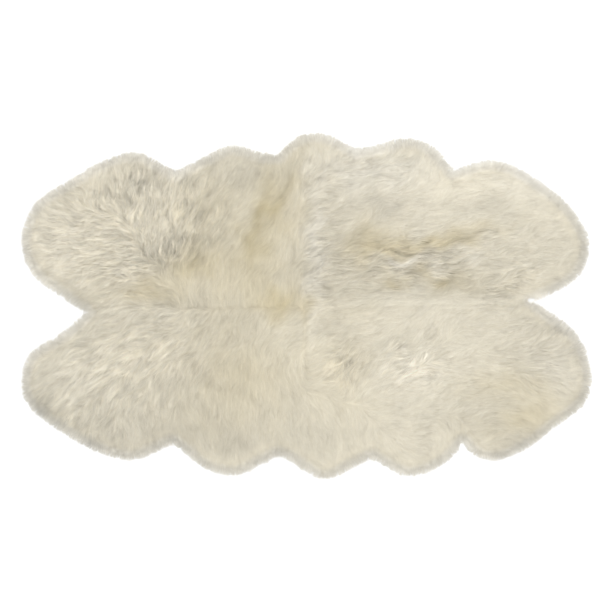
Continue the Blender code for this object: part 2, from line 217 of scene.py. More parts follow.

# Where the wool's colour is made lighter or darker than the rest, and where it is stained tan: the middle
# in millimetres, half its length and width, the share that light is changed by, the turn of its length
# in degrees, and the share of stain. The lighter and darker patches are partly the wool's own uneven
# tone and partly painted light and shade: darker hollows and creases, a light band under the deepest
# parting, painted shade along the lower long side and painted light along the upper one, where the
# key light stands.
Patch = namedtuple("Patch", "x y long wide light turn stain", defaults=(0, 0))
PATCHES = (
    # painted shade along the lower long side and painted light along the upper one, where the light falls
    # from +Y
    Patch(-246, -449, 110, 30, -0.06), Patch(75, -452, 100, 30, -0.045),
    Patch(425, -449, 80, 32, -0.05), Patch(660, -440, 60, 40, -0.04), Patch(-660, 280, 190, 50, 0.035),
    Patch(200, 415, 330, 55, 0.025),
    # upper left
    Patch(-105, 300, 180, 84, -0.18, 72, 0.62), Patch(-133, 292, 115, 24, -0.06, 52, 0.4),
    Patch(-150, 425, 150, 55, -0.15), Patch(-316, 178, 90, 60, -0.08, 20, 0.2),
    Patch(-177, 185, 36, 46, -0.13, 0, 0.5), Patch(-75, 8, 70, 42, -0.08, 0, 0.75),
    Patch(-490, 45, 105, 36, -0.07, 0, 0.5), Patch(-375, 125, 90, 40, -0.08, 10, 0.5),
    Patch(-300, 320, 120, 90, -0.05, 60, 0.25), Patch(-200, 80, 190, 90, -0.08, 0, 0.35),
    Patch(-620, 220, 220, 110, 0.11), Patch(-594, 109, 50, 30, 0.17),
    Patch(-470, 170, 170, 24, -0.07, 20), Patch(-544, 390, 13, 52, -0.36, -8),
    Patch(-690, 25, 60, 30, -0.04, 20, 0.1), Patch(-790, 210, 100, 120, 0.05, 0, -0.15),
    Patch(-270, 462, 60, 18, -0.1, 15), Patch(-210, 410, 70, 50, -0.08),
    Patch(-770, 120, 120, 50, 0.1, 25), Patch(-680, 80, 80, 50, 0.06), Patch(-30, 110, 50, 50, -0.08),
    Patch(-400, 175, 60, 40, -0.06), Patch(-500, 335, 70, 60, 0.06), Patch(-420, 285, 60, 50, 0.05),
    Patch(-840, 180, 40, 60, 0.06), Patch(-690, 350, 90, 60, 0.08, 20),
    # upper right
    Patch(205, 180, 85, 36, -0.05, 10, 0.5), Patch(200, 230, 60, 45, -0.08, 0, 0.4),
    # the thin light patch at (309, 150) is a painted highlight on the lit wall of the parting just above it
    Patch(418, 205, 175, 24, -0.07, 13, 0.7), Patch(309, 150, 55, 9, 0.16, -3, -0.7),
    Patch(340, 95, 130, 24, -0.04, 0, 0.3), Patch(272, 69, 38, 12, -0.1, 0, 0.6),
    Patch(432, 84, 40, 20, -0.1, 0, 0.6), Patch(400, 52, 300, 12, -0.06, 0, 0.1),
    Patch(250, 317, 75, 30, -0.14), Patch(170, 215, 110, 60, -0.08, 0, 0.1),
    Patch(485, 75, 90, 40, -0.09, 0, 0.2), Patch(690, 80, 75, 50, 0.15), Patch(540, 385, 60, 30, 0.07),
    Patch(726, 38, 28, 24, 0.08), Patch(410, 387, 130, 40, 0.07),
    Patch(690, 385, 120, 50, 0.06, -15, -0.2), Patch(550, 317, 60, 28, -0.06),
    Patch(796, 178, 40, 40, -0.06), Patch(60, 480, 90, 60, 0.025),
    Patch(230, 430, 200, 65, 0.04, 0, -0.35), Patch(666, 62, 50, 12, -0.1, 25),
    Patch(30, 190, 220, 26, 0.13, 90, -0.4), Patch(522, 165, 30, 36, 0.09, 0, -0.2),
    Patch(100, 130, 30, 120, -0.05), Patch(180, 340, 70, 50, -0.07), Patch(590, 310, 120, 30, -0.05),
    Patch(860, 200, 40, 70, -0.07), Patch(300, 36, 240, 26, -0.05), Patch(255, 180, 45, 26, 0.12),
    Patch(657, 248, 50, 30, -0.06),
    # lower right
    Patch(707, -343, 100, 46, -0.03, 15, 0.45), Patch(640, -250, 150, 52, -0.02, 0, 0.35),
    Patch(340, -190, 100, 66, 0.29, 0, -0.3), Patch(300, -140, 45, 9, -0.14, 35),
    Patch(800, -190, 80, 100, 0.02, 0, -0.2), Patch(110, -200, 130, 220, 0.02, 0, 0.15),
    Patch(123, -190, 14, 34, -0.16), Patch(98, -200, 34, 54, 0.18, 10),
    Patch(600, -380, 170, 42, -0.09, 0, 0.1), Patch(345, -405, 110, 60, 0.03),
    Patch(170, -10, 90, 26, -0.06, 0, 0.1), Patch(150, -400, 110, 45, -0.08),
    Patch(100, -70, 70, 50, -0.06), Patch(32, -135, 30, 60, 0.07), Patch(570, -290, 110, 60, -0.07),
    Patch(400, -350, 80, 50, -0.05), Patch(680, -440, 70, 34, -0.12, 15),
    Patch(860, -310, 40, 40, -0.07),
    # lower left
    Patch(-190, -220, 180, 170, -0.09, 0, 0.35), Patch(-340, -350, 160, 100, -0.09, 0, 0.1),
    Patch(-400, -400, 150, 45, -0.09), Patch(-240, -205, 90, 55, -0.05, 0, 0.1),
    Patch(-110, -425, 150, 60, -0.11), Patch(-570, -200, 130, 110, 0.15, 0, -0.05),
    Patch(-600, -400, 100, 50, -0.08, -20), Patch(-850, -310, 50, 60, -0.16),
    Patch(-740, -230, 110, 110, 0.08, 0, -0.15), Patch(-385, -240, 50, 40, -0.07),
    Patch(-500, -380, 70, 40, -0.07), Patch(-650, -440, 70, 30, -0.12, -20),
    Patch(-210, -445, 80, 40, -0.06), Patch(-40, -310, 60, 110, -0.08), Patch(-180, -60, 60, 60, -0.06),
    Patch(-590, -100, 50, 40, 0.14), Patch(-435, -150, 70, 80, 0.1), Patch(-690, -220, 110, 80, 0.07),
    Patch(-110, -440, 50, 30, 0.1), Patch(-280, -60, 100, 60, -0.05, 0, 0.1),
    Patch(-730, -100, 40, 30, -0.1),
)
PATCH_WANDER = 0.010  # how uneven their edges are
PATCH_WAVES = 0.09  # about how long the waves of their edges are

# Lines where the wool parts: their points in millimetres, how deep the wool lies there, and how much
# darker its colour is made there, as painted shade in the parting. The last two are the seams.
Parting = namedtuple("Parting", "points depth light")
PARTINGS = (
    Parting(((240, 176), (254, 178), (300, 170), (366, 161), (390, 166)), 0.0050, -0.16),
    Parting(((425, 186), (455, 203), (500, 218), (547, 234), (600, 232)), 0.0040, -0.09),
    Parting(((-619, 115), (-480, 150), (-400, 205), (-319, 226)), 0.0025, -0.04),
    Parting(((0, 560), (0, -560)), 0.0012, -0.010),
    Parting(((-760, 0), (760, 0)), 0.0012, -0.010),
)
PARTING_WIDTH = 0.006
PARTING_WANDER = 0.4  # how uneven they are, as a share of the patches' unevenness

# Where the wool is rough and stands in crisp locks. Elsewhere it is brushed smooth.
Rough = namedtuple("Rough", "x y long wide amount turn", defaults=(0,))
ROUGH = (
    Rough(-700, 230, 210, 160, 0.6), Rough(-470, 340, 170, 120, 0.9),
    Rough(-470, 170, 180, 60, 0.9, 20), Rough(-600, -200, 290, 150, 0.8, 30),
    Rough(30, 200, 230, 60, 0.45, 90), Rough(330, 140, 250, 70, 0.65, 5), Rough(330, -180, 80, 60, 0.9),
    Rough(123, -190, 60, 60, 0.8), Rough(780, -120, 160, 120, 0.3), Rough(640, 70, 110, 45, 0.5, 30),
    Rough(220, 440, 220, 80, 0.3),
)
SMOOTH_LEAST = 0.08  # how rough the smoothest wool is, from 0 to 1

# Streaks of the combed wool: half their width, half their length, how high they stand and how much
# lighter they are, in smooth wool and in rough wool. A streak's lightness follows its height, so the low
# streaks are darker: partly the wool's own uneven tone, partly painted shade in the hollows between them.
Streak = namedtuple("Streak", "grain reach smooth_relief rough_relief smooth_light rough_light")
STREAKS = (
    Streak(0.0016, 0.012, 0.0, 0.0, 0.005, 0.080),
    Streak(0.0040, 0.021, 0.0004, 0.0014, 0.006, 0.022),
    Streak(0.0110, 0.030, 0.0011, 0.0016, 0.008, 0.012),
    Streak(0.0095, 0.009, 0.0, 0.0038, 0.0, 0.046),
)
STREAK_STEP = 0.003


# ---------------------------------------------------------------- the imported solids
def solid_arrays(name):
    """A CAD node's corners and triangles."""
    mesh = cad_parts[name].data
    mesh.calc_loop_triangles()
    corners = np.empty(len(mesh.vertices) * 3)
    mesh.vertices.foreach_get("co", corners)
    triangles = np.empty(len(mesh.loop_triangles) * 3, np.int32)
    mesh.loop_triangles.foreach_get("vertices", triangles)
    return corners.reshape(-1, 3), triangles.reshape(-1, 3)


def tree_of(points):
    tree = kdtree.KDTree(len(points))
    for i, (x, y) in enumerate(points):
        tree.insert((x, y, 0), i)
    tree.balance()
    return tree


def hide_ring(corners, triangles):
    """The corners around a solid's flat underside, in order."""
    flat = triangles[(corners[triangles][:, :, 2] < FLOOR_LEVEL).all(1)]
    key = {}
    spot = [key.setdefault((round(x, 5), round(y, 5)), len(key)) for x, y, _ in corners]
    places = np.array(list(key))
    sides = set()
    for a, b, c in flat:
        sides |= {(spot[a], spot[b]), (spot[b], spot[c]), (spot[c], spot[a])}
    after = {a: b for a, b in sides if (b, a) not in sides}
    ring = [min(after)]
    while after[ring[-1]] != ring[0]:
        ring.append(after[ring[-1]])
    return places[ring]


def along_ring(ring, step):
    """Points about a step apart on a closed ring."""
    points = []
    for a, b in zip(ring, np.roll(ring, -1, axis=0)):
        count = max(1, int(np.hypot(*(b - a)) / step))
        points += [a + (b - a) * i / count for i in range(count)]
    return np.array(points)


# ---------------------------------------------------------------- maps of the rug
class Map:
    """Values on an even grid over the rug, read between the grid's points."""

    def __init__(self, values, cell=GRID):
        self.values = values
        self.cell = cell

    def at(self, x, y):
        u = np.clip((x - LOW[0]) / self.cell, 0, self.values.shape[1] - 1.001)
        v = np.clip((y - LOW[1]) / self.cell, 0, self.values.shape[0] - 1.001)
        i, j = u.astype(int), v.astype(int)
        fu, fv = u - i, v - j
        a = self.values
        return ((a[j, i] * (1 - fu) + a[j, i + 1] * fu) * (1 - fv)
                + (a[j + 1, i] * (1 - fu) + a[j + 1, i + 1] * fu) * fv)


def blurred(values, cells):
    reach = int(3 * cells) + 1
    kernel = np.exp(-np.arange(-reach, reach + 1) ** 2 / (2 * cells * cells))
    kernel /= kernel.sum()
    for _ in range(2):
        padded = np.pad(values, ((reach, reach), (0, 0)), mode="edge")
        values = sum(k * padded[i:i + values.shape[0]] for i, k in enumerate(kernel)).T
    return values


def rounded(depth):
    """The share of its height that the soft body has at a distance from its rim."""
    share = np.clip(depth / RIM_ROUND, 0, 1)
    return (1 - (1 - share) ** 2) ** ROUNDNESS


def distances_to(points):
    tree = tree_of(points)
    return np.array([[tree.find((x, y, 0))[2] for x in XS] for y in YS])


def wavy(x, y, length, seed):
    """Smooth random values around 0, with waves about length long."""
    rng = np.random.default_rng(seed)
    total = np.zeros(np.shape(x))
    for _ in range(WAVES):
        angle = rng.uniform(0, 2 * math.pi)
        pitch = length * rng.uniform(0.7, 1.6)
        total += np.sin((x * math.cos(angle) + y * math.sin(angle)) * 2 * math.pi / pitch
                        + rng.uniform(0, 2 * math.pi))
    return total / math.sqrt(WAVES / 2)


def share_of(patch):
    """How much of a patch there is over the rug: 1 in its middle, fading out past an uneven edge."""
    x, y = UNEVEN_X - patch.x / 1000, UNEVEN_Y - patch.y / 1000
    turn = math.radians(patch.turn)
    along = (x * math.cos(turn) + y * math.sin(turn)) / (patch.long / 1000)
    across = (y * math.cos(turn) - x * math.sin(turn)) / (patch.wide / 1000)
    return np.exp(-along ** 2 - across ** 2)


def near_line(points):
    """How near a broken line is to each place of the rug: 1 on the line, fading out beside it."""
    nearest = np.full(GRID_X.shape, 1.0)
    x = GRID_X + PARTING_WANDER * (UNEVEN_X - GRID_X)
    y = GRID_Y + PARTING_WANDER * (UNEVEN_Y - GRID_Y)
    for (ax, ay), (bx, by) in zip(points, points[1:]):
        ax, ay, bx, by = ax / 1000, ay / 1000, bx / 1000, by / 1000
        along = ((x - ax) * (bx - ax) + (y - ay) * (by - ay)) / ((bx - ax) ** 2 + (by - ay) ** 2)
        along = np.clip(along, 0, 1)
        nearest = np.minimum(nearest, np.hypot(x - ax - along * (bx - ax), y - ay - along * (by - ay)))
    return np.exp(-(nearest / PARTING_WIDTH) ** 2)


def nap_from(guides, x, y):
    """The mean of the guides' directions at places, weighted by nearness."""
    total = np.zeros((2, *x.shape))
    weights = np.zeros(x.shape)
    wander_x = x + NAP_WANDER * wavy(x, y, WANDER_WAVES, seed=7)
    wander_y = y + NAP_WANDER * wavy(x, y, WANDER_WAVES, seed=8)
    sway = NAP_SWAY * wavy(x, y, SWAY_WAVES, seed=9)
    for guide in guides:
        square = (wander_x - guide.x / 1000) ** 2 + (wander_y - guide.y / 1000) ** 2
        weight = 1 / (square + GUIDE_REACH ** 2) ** 2
        angle = math.radians(guide.heading) + sway
        total[0] += weight * np.cos(angle)
        total[1] += weight * np.sin(angle)
        weights += weight
    return total / weights


def combed_noise():
    """A map of noise drawn out along the nap, for each kind of streak."""
    shape = (len(FINE_YS), len(FINE_XS))
    x, y = np.meshgrid(FINE_XS, FINE_YS)
    noises = []
    for streak in STREAKS:
        noise = blurred(RNG.normal(size=shape), streak.grain / FINE_GRID)
        noises.append(Map(noise / noise.std(), FINE_GRID))
    used = DISTANCE.at(x, y) > -FRINGE_END
    x, y = x[used], y[used]
    totals = [noise.at(x, y) for noise in noises]
    for way in (-1, 1):
        px, py = x.copy(), y.copy()
        for step in range(1, round(max(streak.reach for streak in STREAKS) / STREAK_STEP) + 1):
            u, v = NAP_X.at(px, py), NAP_Y.at(px, py)
            px += way * STREAK_STEP * u
            py += way * STREAK_STEP * v
            for total, noise, streak in zip(totals, noises, STREAKS):
                if step * STREAK_STEP <= streak.reach:
                    total += noise.at(px, py)
    maps = []
    for total in totals:
        values = np.zeros(shape)
        values[used] = total / total.std()
        maps.append(Map(values, FINE_GRID))
    return maps


LOW = np.array([cad_box[0][0] - MAP_MARGIN, cad_box[0][1] - MAP_MARGIN])
HIGH = np.array([cad_box[1][0] + MAP_MARGIN, cad_box[1][1] + MAP_MARGIN])
XS, YS = (np.arange(LOW[i], HIGH[i], GRID) for i in (0, 1))
FINE_XS, FINE_YS = (np.arange(LOW[i], HIGH[i], FINE_GRID) for i in (0, 1))
GRID_X, GRID_Y = np.meshgrid(XS, YS)
UNEVEN_X = GRID_X + PATCH_WANDER * wavy(GRID_X, GRID_Y, PATCH_WAVES, seed=3)
UNEVEN_Y = GRID_Y + PATCH_WANDER * wavy(GRID_X, GRID_Y, PATCH_WAVES, seed=4)

rings = {}
heights = np.zeros((len(YS), len(XS)))
owner = np.full((len(YS), len(XS)), -1)
on_hide = np.zeros((len(YS), len(XS)), bool)
for number, pelt in enumerate(PELTS):
    corners, triangles = solid_arrays("pelt_" + pelt)
    rings[pelt] = hide_ring(corners, triangles)
    tree = BVHTree.FromPolygons(corners.tolist(), triangles.tolist())
    low, high = corners.min(0), corners.max(0)
    for j in np.nonzero((YS > low[1]) & (YS < high[1]))[0]:
        for i in np.nonzero((XS > low[0]) & (XS < high[0]))[0]:
            hit = tree.ray_cast(Vector((XS[i], YS[j], 1)), Vector((0, 0, -1)))[0]
            if hit is None or hit.z < heights[j, i]:
                continue
            heights[j, i] = hit.z
            owner[j, i] = number
            under = tree.ray_cast(Vector((XS[i], YS[j], -1)), Vector((0, 0, 1)))[0]
            on_hide[j, i] = under.z < FLOOR_LEVEL
inside = heights > SLAB_LOWEST

# a hide's edge lies on the free rim where no other hide is beside it, and else on a seam
rim_points, seam_points = [], []
for pelt in PELTS:
    others = tree_of(np.concatenate([along_ring(rings[p], EDGE_STEP) for p in PELTS if p != pelt]))
    for point in along_ring(rings[pelt], EDGE_STEP):
        free = others.find((*point, 0))[2] > SEWN_GAP
        (rim_points if free else seam_points).append(point)
distance_values = distances_to(rim_points)
distance_values[~on_hide] *= -1
distance_values = blurred(distance_values, 1.0)
DISTANCE = Map(distance_values)  # from the hide's edge, positive inwards
SEAM = Map(distances_to(seam_points))
# how much more hide there is around a place than beside a straight edge: in a notch it is above 0
CROWD = Map(blurred(on_hide.astype(float), NOTCH_WIDTH / GRID)
            - 1 / (1 + np.exp(-EDGE_CURVE * distance_values / NOTCH_WIDTH)))
slope_y, slope_x = np.gradient(blurred(distance_values, 2.0), GRID)
SLOPE_X, SLOPE_Y = Map(slope_x), Map(slope_y)

quadrant = np.where(GRID_Y > 0, np.where(GRID_X < 0, 0, 1), np.where(GRID_X < 0, 3, 2))
nearest_pelt = np.where(owner >= 0, owner, quadrant)
# 1 on a pelt and 0 on the others, blurred over the seams, where their wool mingles
OWN = {pelt: Map(blurred((nearest_pelt == number).astype(float), 2.5)) for number, pelt in enumerate(PELTS)}
nap_values = np.zeros((2, *GRID_X.shape))
for number, pelt in enumerate(PELTS):
    here = nearest_pelt == number
    nap_values[:, here] = nap_from(NAP[pelt], GRID_X[here], GRID_Y[here])
nap_values = np.array([blurred(values, 2.0) for values in nap_values])
agreement = np.hypot(*nap_values)
NAP_X, NAP_Y = (Map(values / np.maximum(agreement, 1e-6)) for values in nap_values)
AGREEMENT = Map(agreement)  # of the guides around a place, from 0 to 1

parting_relief = np.zeros(GRID_X.shape)
light_values = sum(patch.light * share_of(patch) for patch in PATCHES)
# a parting's colour is darkened along it: painted shade in the crease
for parting in PARTINGS:
    share = near_line(parting.points)
    parting_relief -= parting.depth * share
    light_values += parting.light * share
stain_values = sum(patch.stain * share_of(patch) for patch in PATCHES)
rough_values = SMOOTH_LEAST + sum(patch.amount * share_of(patch) for patch in ROUGH)
# painted light at the rim: lighter and paler where the wool is thin, as if light came through it, and
# darker towards the ends of the tips
rim_painted_light_share = np.clip((THIN_FROM - distance_values) / THIN_OVER, 0, 1)
tip_values = np.clip((-TIPS_FROM - distance_values) / TIPS_OVER, 0, 1)
light_values += RIM_PAINTED_LIGHT * rim_painted_light_share - TIP_DARK * tip_values
stain_values -= RIM_PALE * rim_painted_light_share
LIGHT, STAIN, ROUGHNESS = Map(light_values), Map(stain_values), Map(np.clip(rough_values, 0, 1))

STREAK_MAPS = combed_noise()


def relief_at(x, y):
    """How high the streaks stand at places."""
    rough = ROUGHNESS.at(x, y)
    return sum(values.at(x, y) * (streak.smooth_relief * (1 - rough) + streak.rough_relief * rough)
               for streak, values in zip(STREAKS, STREAK_MAPS))


def light_at(x, y):
    """How much lighter the wool's colour is made at places, for its patches and streaks: partly its own
    tone, partly painted light and shade.
    """
    rough = ROUGHNESS.at(x, y)
    return LIGHT.at(x, y) + sum(
        values.at(x, y) * (streak.smooth_light * (1 - rough) + streak.rough_light * rough)
        for streak, values in zip(STREAKS, STREAK_MAPS))


slab_share = blurred(inside.astype(float), 1.5)
slab = blurred(np.where(inside, heights, 0.0), 1.5) / np.maximum(slab_share, 1e-3)
body_share = rounded(distance_values + HIDE_TO_RIM)
plain_body = (slab - BED_DEPTH) * body_share
relief = np.clip(relief_at(GRID_X, GRID_Y) + parting_relief, -RELIEF_MOST, RELIEF_MOST) * body_share
BODY = Map(plain_body + relief)  # the soft body's surface
incline_y, incline_x = np.array(np.gradient(plain_body, GRID)) * RIM_SHADE + np.gradient(relief, GRID)
steep = np.maximum(1, np.hypot(incline_x, incline_y) / STEEPEST)
INCLINE_X, INCLINE_Y = Map(incline_x / steep), Map(incline_y / steep)


def body_normals(x, y):
    """Unit normals of the soft body's surface, which also shade the strands on it."""
    normals = np.stack([-INCLINE_X.at(x, y), -INCLINE_Y.at(x, y), np.ones(np.shape(x))], -1)
    return normals / np.linalg.norm(normals, axis=-1, keepdims=True)


def lattice(pelt, pitch, lowest, highest):
    """Jittered places on a pelt, about pitch apart, at distances from the hide's edge in a range."""
    xs, ys = (np.arange(LOW[i], HIGH[i], step) for i, step in ((0, pitch), (1, pitch * math.sqrt(3) / 2)))
    x, y = np.meshgrid(xs, ys)
    x = x + (np.arange(len(ys)) % 2 * pitch / 2)[:, None]
    x = (x + RNG.uniform(-0.5, 0.5, x.shape) * pitch).ravel()
    y = (y + RNG.uniform(-0.5, 0.5, y.shape) * pitch).ravel()
    depth = DISTANCE.at(x, y)
    keep = (OWN[pelt].at(x, y) > OVER_SEAM) & (depth > lowest) & (depth < highest)
    return x[keep], y[keep]


def scattered(i, j, seed, mix):
    """A number from 0 to 1 for each cell of a grid, always the same for the same cell."""
    value = np.sin(i * mix[0] + j * mix[1] + seed * mix[2]) * SCATTER
    return value - np.floor(value)


def clump_pull(x, y, pitch, seed):
    """The vector from each place to the middle of its clump, and a random number for the clump."""
    cx, cy = np.floor(x / pitch), np.floor(y / pitch)
    best = np.full(len(x), np.inf)
    pull = np.zeros((len(x), 2))
    luck = np.zeros(len(x))
    for di in (-1, 0, 1):
        for dj in (-1, 0, 1):
            i, j = cx + di, cy + dj
            across = scattered(i, j, seed, (127.1, 311.7, 17.3))
            up = scattered(i, j, seed, (269.5, 183.3, 11.9))
            dx, dy = (i + across) * pitch - x, (j + up) * pitch - y
            closer = dx ** 2 + dy ** 2 < best
            best[closer] = (dx ** 2 + dy ** 2)[closer]
            pull[closer] = np.stack([dx, dy], 1)[closer]
            luck[closer] = (across * 7 + up * 13)[closer] % 1
    return pull, luck


# ---------------------------------------------------------------- meshes
def put(mesh, name, values):
    attribute = mesh.attributes.new(name, "FLOAT", "POINT")
    attribute.data.foreach_set("value", values.reshape(-1).astype(np.float32))


def mesh_from(name, points, faces, normals):
    """A mesh of triangles, shaded by normals where there are some: one for each corner of each face."""
    mesh = bpy.data.meshes.new(name)
    mesh.vertices.add(len(points))
    mesh.vertices.foreach_set("co", points.reshape(-1).astype(np.float32))
    mesh.loops.add(faces.size)
    mesh.loops.foreach_set("vertex_index", faces.reshape(-1).astype(np.int32))
    mesh.polygons.add(len(faces))
    mesh.polygons.foreach_set("loop_start", np.arange(0, faces.size, 3, dtype=np.int32))
    mesh.update(calc_edges=True)
    mesh.shade_smooth()
    if normals is not None:
        mesh.normals_split_custom_set(normals.reshape(-1, 3).tolist())
    return mesh


def put_uv(mesh, uv):
    layer = mesh.uv_layers.new(name="OFBake")
    layer.uv.foreach_set("vector", uv.reshape(-1).astype(np.float32))


def loops_of(edges):
    """The closed loops that directed edges make."""
    after = dict(edges.tolist())
    loops, left = [], set(after)
    while left:
        loop = [min(left)]
        while after[loop[-1]] != loop[0]:
            loop.append(after[loop[-1]])
        left -= set(loop)
        loops.append(np.array(loop))
    return loops


def soft_body(pelt):
    """The soft body of a pelt's wool: a closed form with combed relief above and a flat underside."""
    filled = (nearest_pelt == PELTS.index(pelt))[:-1, :-1]
    for j, i in ((0, 0), (0, 1), (1, 0), (1, 1)):
        filled = filled & (DISTANCE.values[j:j - 1 or None, i:i - 1 or None] > -HIDE_TO_RIM)
    for _ in range(3):  # a cell with fewer than two neighbours would be a spur
        wide = np.pad(filled, 1).astype(int)
        filled = filled & (wide[:-2, 1:-1] + wide[2:, 1:-1] + wide[1:-1, :-2] + wide[1:-1, 2:] > 1)
    rows, columns = np.nonzero(filled)
    width = len(XS)
    a = rows * width + columns
    quads = np.stack([a, a + 1, a + 1 + width, a + width], 1)
    used, flat = np.unique(quads, return_inverse=True)
    quads = flat.reshape(quads.shape)
    x, y = GRID_X.ravel()[used], GRID_Y.ravel()[used]
    top = np.concatenate([quads[:, [0, 1, 2]], quads[:, [0, 2, 3]]])
    sides = np.concatenate([quads[:, [k, (k + 1) % 4]] for k in range(4)])
    codes = sides[:, 0] * len(used) + sides[:, 1]
    back = sides[:, 1] * len(used) + sides[:, 0]
    edge = sides[~np.isin(codes, back)]
    # the free rim follows the contour of the wool's side, and not the grid
    rim = np.unique(edge)
    rim = rim[SEAM.at(x[rim], y[rim]) > 2 * GRID]
    for _ in range(3):
        gap = DISTANCE.at(x[rim], y[rim]) + HIDE_TO_RIM
        slope = np.stack([SLOPE_X.at(x[rim], y[rim]), SLOPE_Y.at(x[rim], y[rim])])
        slope /= np.maximum(np.linalg.norm(slope, axis=0), 0.3) ** 2
        x[rim] -= gap * slope[0]
        y[rim] -= gap * slope[1]
    z = np.maximum(BODY.at(x, y), BED_FLOOR + 0.001)
    points = np.stack([x, y, z], 1)
    count = len(points)
    # a wall down from each edge, and a flat fill between the walls
    below, faces = [], [top]
    for loop in loops_of(edge):
        start = count + sum(map(len, below))
        ids = np.arange(len(loop))
        following = np.roll(ids, -1)
        faces.append(np.stack([loop, start + ids, start + following], 1))
        faces.append(np.stack([loop, start + following, loop[following]], 1))
        below.append(np.column_stack([points[loop, :2], np.full(len(loop), BED_FLOOR)]))
        corners = [Vector(p[:2]) for p in below[-1]]
        fill = delaunay_2d_cdt(corners, [], [list(range(len(loop)))], 1, 1e-9)[2]
        faces.append(start + np.array(fill)[:, ::-1])
    faces = np.concatenate(faces)
    points = np.concatenate([points, *below])
    normals = np.zeros_like(points)
    normals[:count] = body_normals(x, y)
    normals[count:] = (0, 0, -1)
    mesh = mesh_from("fleece_" + pelt, points, faces, normals[faces])
    corners = points[faces.reshape(-1), :2]
    low, size = points[:, :2].min(0), np.ptp(points[:, :2], axis=0).max()
    uv = (corners - low) / size
    put_uv(mesh, uv)
    # painted shade: the soft body takes a colour halfway to the strands' darker roots, standing in for the
    # shade it lies in under the strands
    put(mesh, "along", np.full(len(points), 0.3))
    put(mesh, "tone_and_painted_light", light_at(points[:, 0], points[:, 1]))
    put(mesh, "stain", STAIN.at(points[:, 0], points[:, 1]))
    return mesh


def centre_lines(x, y, angle, length, back):
    """Lines that follow the nap from behind each place, at the strand's stations."""
    heading = np.stack([np.cos(angle), np.sin(angle)], 1)
    root = np.stack([x, y], 1) - heading * (length * back)[:, None]
    middle = root + heading * (length * STATIONS[1])[:, None]
    here = np.arctan2(NAP_Y.at(x, y), NAP_X.at(x, y))
    there = np.arctan2(NAP_Y.at(*middle.T), NAP_X.at(*middle.T))
    angle = angle + (there - here + math.pi) % (2 * math.pi) - math.pi
    heading = np.stack([np.cos(angle), np.sin(angle)], 1)
    tip = middle + heading * (length * (1 - STATIONS[1]))[:, None]
    return np.stack([root, middle, tip], 1)


def lay(pelt, kind, seed):
    """The centre lines of a kind of strands on a pelt, their thickness and how much lighter they are."""
    x, y = lattice(pelt, kind.pitch, *kind.zone)
    n = len(x)
    depth = DISTANCE.at(x, y)
    rough = ROUGHNESS.at(x, y)
    out = -np.stack([SLOPE_X.at(x, y), SLOPE_Y.at(x, y)], 1)
    out /= np.maximum(np.linalg.norm(out, axis=1, keepdims=True), 1e-6)
    turn = kind.turn_out * np.exp(-np.maximum(depth + HIDE_TO_RIM, 0) / TURN_OVER)
    nap = np.stack([NAP_X.at(x, y), NAP_Y.at(x, y)], 1)
    heading = nap * (1 - turn)[:, None] + out * turn[:, None]
    angle = np.arctan2(heading[:, 1], heading[:, 0])
    pull, luck = clump_pull(x, y, kind.clump, seed)
    stray = STRAND_STRAY + LOOSE_STRAY * (1 - AGREEMENT.at(x, y))
    angle += ((luck - 0.5) * CLUMP_STRAY + RNG.normal(0, 1, n) * stray) * (0.5 + rough)
    length = RNG.uniform(*kind.length, n)
    reach = RIM_REACH[0] + (RIM_REACH[1] - RIM_REACH[0]) * (0.6 * luck + 0.4 * RNG.uniform(0, 1, n))
    share = np.ones(n)  # of its length, that keeps a strand from reaching too far out or into a notch
    for part in CUTS:
        tip = centre_lines(x, y, angle, length * part, kind.back)[:, 2]
        room = 1 - np.clip(NOTCH_OPEN * CROWD.at(*tip.T), 0, 1 - NOTCH_LEAST)
        share[DISTANCE.at(*tip.T) < -reach * room] = part
    length = np.maximum(length * share, SHORTEST)
    flat = centre_lines(x, y, angle, length, kind.back)
    rise = np.minimum(RNG.uniform(*kind.rise, n) * (0.12 + 1.4 * rough), HIGHEST_RISE)
    hold = kind.hold * (0.4 + rough)
    bend = RNG.normal(0, BEND, n) * length
    heading = (flat[:, 2] - flat[:, 0]) / length[:, None]
    flat[:, 1] += np.stack([-heading[:, 1], heading[:, 0]], 1) * bend[:, None]
    centre = np.empty((n, len(STATIONS), 3))
    for k, s in enumerate(STATIONS):
        spot = flat[:, k] + pull * (hold * s)[:, None]
        low = np.clip((DISTANCE.at(*spot.T) + DROOP_OVER - DROOP_FROM) / DROOP_OVER, DROOP_LEAST, 1)
        over = rise * (1 - 0.1 * s) if s else -ROOT_SINK
        centre[:, k, :2] = spot
        floor_line = OVER_FLOOR + 0.7 * rise * (1 - 0.5 * s)
        centre[:, k, 2] = np.maximum(BODY.at(*spot.T) + over * low, floor_line)
    thick = RNG.uniform(*kind.radius, n)
    lighter = (STRAND_SHADE * RNG.normal(0, 1, n) + CLUMP_SHADE * (luck - 0.5)) * (0.25 + rough)
    return centre, thick, lighter


